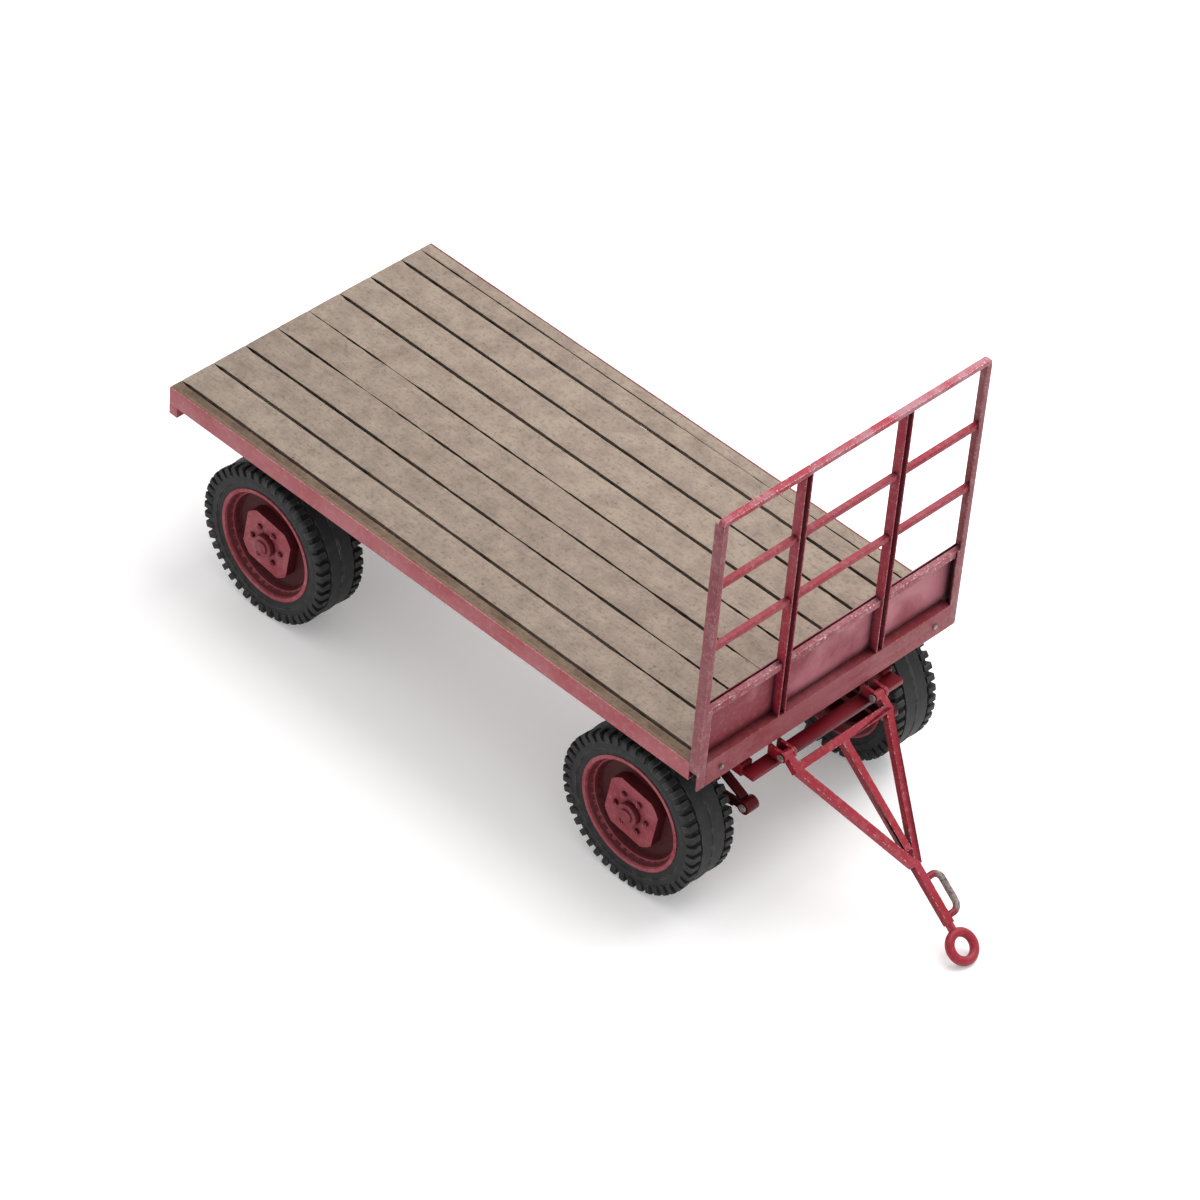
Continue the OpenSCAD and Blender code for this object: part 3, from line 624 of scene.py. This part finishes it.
@dataclass
class Deck:
    """Eight rough boards between two edge strips. Their edges wander, so the gaps do too.

    Attributes:
        along: Faces along a board.
        across: Faces across a board.
        ragged: The most that a splintered edge is cut back.
        relief: Depth of the grain.
        rounding: Depth to which a board's upper edges are worn.
        edge_wear: Share of that depth at the very edge.
        mean_relief: Depth of the face's middle level, as a share of relief.
        edge_power: How near its edges the wear on a board stays.
        closing: Length of a gap's closed end, at the rear.
        tone_spread: The most that one board's tone differs from the next.
        lip_share: Share of the right strip that is paler, along its outer edge.
        lip_tone: Tone of that lip.
    """

    paint: Paintwork
    along: int = 240
    across: int = 12
    ragged: float = 3 * MM
    relief: float = 1.6 * MM
    rounding: float = 3 * MM
    edge_wear: float = 0.8
    mean_relief: float = 0.6
    edge_power: int = 12
    narrowest: float = 2 * MM
    widest: float = 21 * MM
    closing: float = 60 * MM
    tone_spread: float = 0.12
    lip_share: float = 0.3
    lip_tone: float = -0.25
    gaps: tuple[Gap, ...] = (
        Gap(30, 26, 0.3), Gap(32, 20, 0.7), Gap(24, 16, 0.8), Gap(13, 11, 1.4), Gap(7, 16, 1.6),
        Gap(30, 30, 0.35), Gap(28, 26, 0.6), Gap(32, 30, 0.3), Gap(6, 7, 1.2),
    )

    def build(self) -> None:
        """Builds the boards, then the strips."""
        for number in range(1, len(self.gaps)):
            node = f"plank_{number}"
            low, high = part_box(node)
            board = self._board(f"{node}_sawn", low, high, number, number - 1, number)
            tone = self.tone_spread * noise.noise(Vector((number * 3.7, 0.3, 0)))
            store(board, "board_tone", "POINT", [tone] * len(board.data.vertices))
            dress(board, self.paint.boards)
            stand_in(board, node)
        self._strips()

    def _board(self, name: str, low: Vector, high: Vector, seed: int,
               right: int, left: int) -> bpy.types.Object:
        """Makes one board as a displaced grid with a thickness.

        Args:
            name: The board's name.
            low: Lowest corner of the CAD board.
            high: Highest corner of the CAD board.
            seed: Moves the noise, so that no two boards match.
            right: Number of the gap along its -Y edge, or -1 for a straight outer edge.
            left: Number of the gap along its +Y edge, or -1.

        Returns:
            The closed board.
        """
        middle = (low + high) / 2
        size = high - low
        bpy.ops.object.select_all(action="DESELECT")
        bpy.ops.mesh.primitive_grid_add(x_subdivisions=self.along, y_subdivisions=self.across,
                                        size=1, location=(middle.x, middle.y, high.z))
        board = bpy.context.object
        board.name = board.data.name = name
        board.scale = (size.x, size.y, 1)
        settle(board)
        cad_gap = self._cad_gap()
        for vertex in board.data.vertices:
            self._weather(vertex, low, high, seed, right, left, cad_gap)
        apply_modifier(board, "SOLIDIFY", thickness=size.z - self.rounding, offset=-1)
        for vertex in board.data.vertices:
            vertex.co.z = max(low.z, min(high.z, vertex.co.z))
        smooth(board)
        return board

    def _cad_gap(self) -> float:
        """Returns the gap between two boards of the frame."""
        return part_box("plank_2")[0].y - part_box("plank_1")[1].y

    def _gap_width(self, number: int, x: float, rear: float, front: float, cad_gap: float) -> float:
        """Returns a gap's width at one place. A gap closes at the rear.

        Args:
            number: The gap, counted from the right, or -1 for an outer edge.
            x: Place along the wagon.
            rear: Rear end of the board.
            front: Front end of the board.
            cad_gap: The gap between two boards of the frame, which an outer edge keeps.

        Returns:
            The width.
        """
        if number < 0:
            return cad_gap
        gap = self.gaps[number]
        share = (x - rear) / (front - rear)
        mean = MM * (gap.rear + (gap.front - gap.rear) * share)
        slow = noise.noise(Vector((x * 2.3, number * 7.3, 1)))
        quick = noise.noise(Vector((x * 11, number * 3.1, 5)))
        width = mean * (1 + gap.broken * (1.5 * slow + 0.5 * quick))
        closed = max(0.0, 1 - (x - rear) / self.closing)
        return max(self.narrowest, min(self.widest, width) * (1 - closed))

    def _weather(self, vertex: bpy.types.MeshVertex, low: Vector, high: Vector, seed: int,
                 right: int, left: int, cad_gap: float) -> None:
        """Moves one point of a board's top: edges wander, and the face has grain in it.

        Args:
            vertex: The point.
            low: Lowest corner of the CAD board.
            high: Highest corner of the CAD board.
            seed: Moves the noise.
            right: Number of the gap along the board's -Y edge, or -1.
            left: Number of the gap along its +Y edge, or -1.
            cad_gap: The gap between two boards of the frame.
        """
        x, y = vertex.co.x, vertex.co.y
        across = (y - low.y) / (high.y - low.y)
        wander = (noise.noise(Vector((x * 9, seed * 5.1, 0)))
                  + 0.6 * noise.noise(Vector((x * 31, seed, 4))))
        grow_right = (cad_gap - self._gap_width(right, x, low.x, high.x, cad_gap)) / 2
        grow_left = (cad_gap - self._gap_width(left, x, low.x, high.x, cad_gap)) / 2
        vertex.co.y += grow_left * across - grow_right * (1 - across)
        edge = abs(2 * across - 1) ** self.edge_power
        ragged = self.ragged if (right if across < 0.5 else left) >= 0 else 0
        vertex.co.y -= edge * ragged * abs(wander) * (1 if across > 0.5 else -1)
        grain = (noise.noise(Vector((x * 1.6, y * 85, seed)))
                 + 0.5 * noise.noise(Vector((x * 14, y * 60, 7))))
        vertex.co.z -= self.relief * self.mean_relief * (1 + grain)
        vertex.co.z -= self.edge_wear * self.rounding * edge

    def _strips(self) -> None:
        """Builds the two edge strips as one piece, as in the frame."""
        low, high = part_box("edge_strips")
        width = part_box("plank_1")[0].y - self._cad_gap() - low.y
        right = self._board("strip_right", low.copy(), Vector((high.x, low.y + width, high.z)),
                            seed=19, right=-1, left=0)
        left = self._board("strip_left", Vector((low.x, high.y - width, low.z)), high.copy(),
                           seed=21, right=len(self.gaps) - 1, left=-1)
        dress(right, self.paint.strip)
        dress(left, self.paint.boards)
        strips = join([right, left], "edge_strips_sawn")
        lip = low.y + self.lip_share * width
        store(strips, "board_tone", "POINT", [
            self.lip_tone if vertex.co.y < lip else 0.0 for vertex in strips.data.vertices])
        stand_in(strips, "edge_strips")


# ---- Wheels ----


@dataclass
class Tyre:
    """A cross-country tyre: block lugs on both shoulders and a plain rib round the middle.

    Attributes:
        line_half: Half the width of the mould line that stands up in the rib's middle.
        line_height: Height of that line.
        uneven: How far a lug strays from its place, as a share of the lugs' pitch.
        stagger: How far the left shoulder's lugs are turned from the right one's, likewise.
        seam_weld: Points nearer than this are joined where the spun carcass closes.
    """

    paint: Paintwork
    turn_steps: int = 132
    lug_count: int = 44
    lug_length: float = 36 * MM
    lug_bevel: float = 3 * MM
    lug_depth: float = 22 * MM
    rib_half: float = 88 * MM
    bead_r: float = 351 * MM
    line_half: float = 6 * MM
    line_height: float = 4 * MM
    uneven: float = 0.05
    stagger: float = 0.5
    seam_weld: float = 5 * WELD_DISTANCE

    def build(self, axle: Axle, side: Side) -> None:
        """Builds the tyre of one wheel in its place.

        Args:
            axle: The wheel's axle.
            side: The wheel's side.
        """
        node = f"tyre_{axle.value}_{side.name.lower()}"
        low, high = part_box(node)
        radius = (high.z - low.z) / 2
        half = (high.y - low.y) / 2
        parts = [self._carcass(radius, half)]
        for face in (-1, 1):
            parts += self._lugs(radius, half, face)
        tyre = join(parts, f"{node}_moulded")
        tyre.location = (low + high) / 2
        settle(tyre)
        smooth(tyre)
        dress(tyre, self.paint.tyre)
        stand_in(tyre, node)

    def _profile(self, radius: float, half: float) -> list[tuple[float, float]]:
        """Draws the carcass's outline on one side, from rib to bead.

        Args:
            radius: The tyre's radius.
            half: Half the tyre's width.

        Returns:
            The outline's points, as (distance from the middle, radius).
        """
        floor = radius - self.lug_depth
        line_top = radius - 1 * MM
        return [
            (0.0, line_top), (self.line_half, line_top),
            (self.line_half + 3 * MM, line_top - self.line_height),
            (self.rib_half - 6 * MM, radius - 4 * MM), (self.rib_half, floor),
            (half - 22 * MM, floor - 3 * MM), (half - 13 * MM, floor - 16 * MM),
            (half - 12 * MM, floor - 34 * MM), (half - 9 * MM, floor - 50 * MM),
            (half - 8 * MM, floor - 76 * MM), (half - 16 * MM, floor - 82 * MM),
            (half - 20 * MM, floor - 102 * MM), (half - 21 * MM, self.bead_r),
        ]

    def _carcass(self, radius: float, half: float) -> bpy.types.Object:
        """Spins the outline round the axle.

        Args:
            radius: The tyre's radius.
            half: Half the tyre's width.

        Returns:
            The closed carcass.
        """
        side = self._profile(radius, half)
        loop = [(-y, r) for y, r in reversed(side[1:])] + side
        bpy.ops.object.select_all(action="DESELECT")
        bpy.ops.mesh.primitive_circle_add(vertices=len(loop), radius=radius, location=(0, 0, 0))
        carcass = bpy.context.object
        for vertex, (y, r) in zip(carcass.data.vertices, loop):
            vertex.co = (0, y, r)
        edit(
            carcass,
            lambda: bpy.ops.mesh.spin(steps=self.turn_steps, angle=2 * math.pi,
                                      center=(0, 0, 0), axis=(0, 1, 0)),
            lambda: bpy.ops.mesh.select_all(action="SELECT"),
            lambda: bpy.ops.mesh.remove_doubles(threshold=self.seam_weld),
            lambda: bpy.ops.mesh.normals_make_consistent(inside=False),
        )
        return carcass

    def _lugs(self, radius: float, half: float, face: int) -> list[bpy.types.Object]:
        """Models one lug and copies it round one shoulder.

        Args:
            radius: The tyre's radius.
            half: Half the tyre's width.
            face: Which shoulder, -1 or 1.

        Returns:
            The lugs.
        """
        floor = radius - self.lug_depth
        outline = [
            (self.rib_half + 4 * MM, floor - 6 * MM), (self.rib_half + 8 * MM, radius - 2 * MM),
            (half - 12 * MM, radius), (half, radius - 10 * MM),
            (half, radius - 46 * MM), (half - 6 * MM, radius - 62 * MM),
            (half - 26 * MM, radius - 58 * MM),
        ]
        bpy.ops.object.select_all(action="DESELECT")
        bpy.ops.mesh.primitive_circle_add(vertices=len(outline), radius=radius, fill_type="NGON",
                                          location=(0, 0, 0))
        first = bpy.context.object
        for vertex, (y, r) in zip(first.data.vertices, outline):
            vertex.co = (-self.lug_length / 2, face * y, r)
        edit(
            first,
            lambda: bpy.ops.mesh.extrude_region_move(
                TRANSFORM_OT_translate={"value": (self.lug_length, 0, 0)}),
            lambda: bpy.ops.mesh.select_all(action="SELECT"),
            lambda: bpy.ops.mesh.normals_make_consistent(inside=False),
        )
        apply_modifier(first, "BEVEL", width=self.lug_bevel, segments=1, limit_method="ANGLE")
        pitch = 2 * math.pi / self.lug_count
        lugs = [first]
        for _ in range(1, self.lug_count):
            copy = first.copy()
            copy.data = first.data.copy()
            bpy.context.scene.collection.objects.link(copy)
            lugs.append(copy)
        for number, lug in enumerate(lugs):
            stagger = self.stagger * (face > 0)
            stray = self.uneven * noise.noise(Vector((number * 1.7, face, 2)))
            lug.data.transform(Matrix.Rotation((number + stagger + stray) * pitch, 4, "Y"))
        return lugs


@dataclass
class Wheels:
    """The four wheels: tyre, stepped rim with its disc, hub and nuts.

    Attributes:
        rings: For each step of the rim, from the lip inwards, the share of the rim's radius where
        it ends, and its painted shade.
        plate_share: The disc's raised plate is inside this share of the radius.
        plate_out: The plate's face is past this share of the half width.
        hub_share: The hub is inside this share of the radius.
        flat_from: A face counts as flat if its normal is at least this near to the wheel's axis.
        plate_grime: Grime on the plate's face.
        hub_grime: Grime on the hub's face.
        wall_grime: Painted shade on the walls of both.
    """

    paint: Paintwork
    rim_round: float = 3 * MM
    hub_round: float = 6 * MM
    nut_round: float = 2 * MM
    rings: tuple[tuple[float, float], ...] = (
        (0.985, 0.0), (0.925, 0.3), (0.915, 0.85), (0.87, 0.35), (0.85, 0.9), (0.0, 1.0))
    plate_share: float = 0.62
    plate_out: float = 0.86
    hub_share: float = 0.22
    flat_from: float = 0.7
    plate_grime: float = 0.1
    hub_grime: float = 0.4
    wall_grime: float = 0.8

    def build(self) -> None:
        """Builds all four."""
        tyre = Tyre(self.paint)
        for axle in Axle:
            for side in Side:
                tyre.build(axle, side)
                place = f"{axle.value}_{side.name.lower()}"
                for part, rounding in (("wheel", self.rim_round), ("hub", self.hub_round),
                                       ("nuts", self.nut_round)):
                    piece = softened(f"{part}_{place}", rounding)
                    self._darken(piece, f"wheel_{place}", side)
                    dress(piece, self.paint.wheel)
                    stand_in(piece, f"{part}_{place}")

    def _darken(self, piece: bpy.types.Object, rim: str, side: Side) -> None:
        """Stores painted shade and dirt on each face of one wheel: least on the lip and plate, most
        between them.

        Args:
            piece: The wheel, its hub or its nuts.
            rim: The CAD node of the wheel's rim, which gives its middle and its size.
            side: Which side of the wagon it is on.
        """
        low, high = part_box(rim)
        middle = (low + high) / 2
        radius = (high.z - low.z) / 2
        half = (high.y - low.y) / 2
        values = []
        for face in piece.data.polygons:
            corners = [piece.data.vertices[number].co - middle for number in face.vertices]
            share = max(math.hypot(corner.x, corner.z) for corner in corners) / radius
            out = side.value * (face.center.y - middle.y) / half
            # Painted shade on the rim's steps and in its trough.
            if share >= self.plate_share or out <= self.plate_out:
                values.append(next(grime for inner, grime in self.rings if share >= inner))
            # Painted shade on the walls of the plate and hub.
            elif abs(face.normal.y) <= self.flat_from:
                values.append(self.wall_grime)
            else:
                values.append(self.hub_grime if share < self.hub_share else self.plate_grime)
        store(piece, "grime", "FACE", values)


# ---- Steelwork ----


@dataclass
class Steelwork:
    """Frame, headboard, running gear and drawbar: rolled and welded steel with rounded edges."""

    paint: Paintwork
    sheet_round: float = 2 * MM
    tube_round: float = 5 * MM
    heavy_round: float = 4 * MM
    under_nodes: tuple[str, ...] = (
        "main_beams", "cross_members", "upper_ring", "lower_ring", "rear_subframe",
        "rear_hangers", "front_hangers", "rear_springs", "front_springs", "rear_axle", "front_axle")
    bolt_nodes: tuple[str, ...] = (
        "headboard_bolts", "kingpin", "rear_spring_pins", "front_spring_pins", "rear_u_bolts",
        "front_u_bolts", "drawbar_pins")

    def build(self) -> None:
        """Builds every piece of steel."""
        paint = self.paint
        self._dress_all(("side_rail_right", "side_rail_left", "rear_beam"), self.sheet_round,
                        paint.rails)
        self._dress_all(("front_beam",), self.sheet_round, paint.beam)
        self._dress_all(("headboard_posts",), self.sheet_round, paint.post)
        self._dress_all(("headboard_top_rail",), self.tube_round, paint.top_rail)
        self._dress_all(("headboard_rails",), self.tube_round, paint.headboard)
        self._dress_all(("inner_posts",), self.sheet_round, paint.headboard)
        self._dress_all(("headboard_panel",), self.sheet_round, paint.panel)
        self._dress_all(("panel_cap",), self.tube_round, paint.cap)
        self._dress_all(self.under_nodes, self.sheet_round, paint.under)
        self._dress_all(("lower_frame",), self.heavy_round, paint.turntable)
        self._dress_all(("drawbar_frame", "drawbar_lugs"), self.heavy_round, paint.drawbar)
        self._dress_all(("towing_eye",), self.sheet_round, paint.drawbar)
        self._dress_all(self.bolt_nodes, self.sheet_round, paint.steel)
        self._handle()

    def _handle(self) -> None:
        """Builds the drawbar's handle, with paint left at its roots and its grip rubbed bare."""
        low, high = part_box("drawbar_handle")
        handle = softened("drawbar_handle", self.sheet_round)
        store(handle, "paint_left", "POINT", [
            1 - (vertex.co.y - low.y) / (high.y - low.y) for vertex in handle.data.vertices])
        dress(handle, self.paint.steel)
        stand_in(handle, "drawbar_handle")

    def _dress_all(self, nodes: Sequence[str], rounding: float,
                   material: bpy.types.Material) -> None:
        """Replaces each node with a rounded copy in one finish.

        Args:
            nodes: The CAD nodes.
            rounding: Width of the rounding on their edges.
            material: The finish.
        """
        for node in nodes:
            piece = softened(node, rounding)
            dress(piece, material)
            stand_in(piece, node)


# ---- Studio ----


@dataclass
class Studio:
    """Plain pale floor, soft light from above and the camera."""

    lens_mm: float = 165.03
    sensor_mm: float = 36.0
    camera_at: tuple[float, float, float] = (14.7386, -16.8860, 20.5647)
    azimuth: float = 41.535
    elevation: float = 41.411
    roll: float = 5.069
    floor_half: float = 60.0
    floor_drop: float = 1 * MM
    floor_glow: float = 0.18
    sky_strength: float = 0.85
    lamp_at: tuple[float, float, float] = (0.3, 4, 8)
    lamp_size: float = 9
    lamp_watts: float = 900
    far_clip: float = 500

    def build(self) -> None:
        """Builds the floor, the lights and the camera."""
        self._floor()
        self._lights()
        self._camera()

    def _floor(self) -> None:
        """Lays a white floor just below the wagon's lowest point."""
        bpy.ops.object.select_all(action="DESELECT")
        bpy.ops.mesh.primitive_plane_add(
            size=2 * self.floor_half, location=(0, 0, CAD_BOX[0].z - self.floor_drop))
        floor = bpy.context.object
        floor.name = "studio_floor"
        settle(floor)
        paper, tree, shader = start_material("white_paper")
        plug(tree, shader, {
            "Base Color": "#f7f6f6", "Roughness": 0.9,
            "Emission Color": "#ffffff", "Emission Strength": self.floor_glow})
        dress(floor, paper)

    def _lights(self) -> None:
        """Hangs a broad lamp over the wagon and fills the shadows from all round."""
        world = bpy.data.worlds.new("white_room")
        world.use_nodes = True
        sky = world.node_tree.nodes["Background"]
        plug(world.node_tree, sky, {"Color": "#ffffff", "Strength": self.sky_strength})
        bpy.context.scene.world = world
        lamp = bpy.data.lights.new("soft_box", "AREA")
        lamp.shape = "SQUARE"
        lamp.size = self.lamp_size
        lamp.energy = self.lamp_watts
        holder = bpy.data.objects.new("soft_box", lamp)
        holder.location = self.lamp_at
        holder.rotation_mode = "QUATERNION"
        holder.rotation_quaternion = (-holder.location).to_track_quat("-Z", "Y")
        bpy.context.scene.collection.objects.link(holder)

    def _camera(self) -> None:
        """Places the camera by its angles and rolls it a little."""
        data = bpy.data.cameras.new("camera")
        data.lens = self.lens_mm
        data.sensor_width = self.sensor_mm
        data.clip_end = self.far_clip
        camera = bpy.data.objects.new("camera", data)
        a, e = math.radians(self.azimuth), math.radians(self.elevation)
        back = Vector((math.sin(a) * math.cos(e), -math.cos(a) * math.cos(e), math.sin(e)))
        level = (-back).to_track_quat("-Z", "Y").to_matrix()
        turn = level @ Matrix.Rotation(math.radians(self.roll), 3, "Z")
        camera.matrix_world = Matrix.Translation(self.camera_at) @ turn.to_4x4()
        bpy.context.scene.collection.objects.link(camera)
        bpy.context.scene.camera = camera
        bpy.context.scene.view_settings.view_transform = "Standard"


def main() -> None:
    """Builds the wagon and its studio."""
    logging.basicConfig(level=logging.INFO, format="%(message)s")
    paint = Paintwork()
    Deck(paint).build()
    Steelwork(paint).build()
    Wheels(paint).build()
    Studio().build()


if __name__ == "__main__":
    main()
